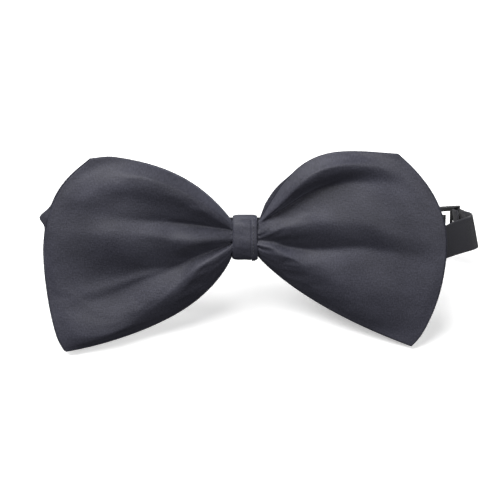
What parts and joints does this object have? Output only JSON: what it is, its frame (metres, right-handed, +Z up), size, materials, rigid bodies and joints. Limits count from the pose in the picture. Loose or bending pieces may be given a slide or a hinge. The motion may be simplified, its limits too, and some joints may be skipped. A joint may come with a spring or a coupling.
{
  "type": "pre-tied bow tie",
  "caption": "Pre-tied two-layer satin bow tie with a wrapped knot, on an adjustable neckband with a slider and a plastic hook and eye.",
  "frame": {"origin": "centre of the flat back face of the knot, with the tie leaning back as it stands on a table", "axes": "+X across the bow towards the end of the band that carries the eye, +Y to the back, +Z up from the table"},
  "size_m": [0.1317, 0.0515, 0.0556],
  "materials": {
    "satin": "charcoal satin with a soft sheen",
    "interlining": "matt non-woven",
    "webbing": "matt narrow woven band",
    "thread": "polyester sewing thread",
    "plastic": "moulded, softly glossy"
  },
  "bodies": {
    "bow": {"front_bow": "satin", "front_bow_interlining": "interlining", "rear_bow": "satin", "rear_bow_interlining": "interlining", "knot_wrap": "satin", "waist_thread": "thread", "knot_stitches": "thread", "neckband_front": "webbing"},
    "long_side": {"neckband_long_side": "webbing"},
    "running_loop": {"neckband_loop": "webbing"},
    "slider": {"slider": "plastic", "slider_sewn_end": "webbing", "slider_end_stitches": "thread"},
    "hook": {"hook": "plastic"},
    "short_side": {"neckband_short_side": "webbing", "eye_end_stitches": "thread"},
    "eye": {"eye": "plastic"}
  },
  "joints": [
    {"name": "left_band_flex", "type": "hinge", "parent": "bow", "child": "long_side", "pos_m": [-0.05657, 0.0109, -0.0052], "axis": [0, 0.4305, 0.9026], "range_deg": [0, 75]},
    {"name": "right_band_flex", "type": "hinge", "parent": "bow", "child": "short_side", "pos_m": [0.0708, 0.00975, -0.00465], "axis": [0, 0.4305, 0.9026], "range_deg": [-75, 0]},
    {"name": "length_adjust", "type": "slide", "parent": "long_side", "child": "running_loop", "axis": [0.9977, 0.0158, 0.0654], "range_m": [-0.026, 0.008], "deforming": ["neckband_loop"]},
    {"name": "slider_travel", "type": "slide", "parent": "running_loop", "child": "slider", "axis": [0.9977, 0.0158, 0.0654], "range_m": [-0.026, 0.008]},
    {"name": "hook_pivot", "type": "hinge", "parent": "running_loop", "child": "hook", "pos_m": [0.05234, 0.01976, -0.00943], "axis": [0, 0.4305, 0.9026], "range_deg": [0, 75]},
    {"name": "eye_pivot", "type": "hinge", "parent": "short_side", "child": "eye", "pos_m": [0.0663, 0.01697, -0.00809], "axis": [0, 0.4305, 0.9026], "range_deg": [0, 35]}
  ],
  "couplings": [
    {"joint": "right_band_flex", "follows": "left_band_flex", "ratio": -1},
    {"joint": "slider_travel", "follows": "length_adjust", "ratio": 1}
  ]
}
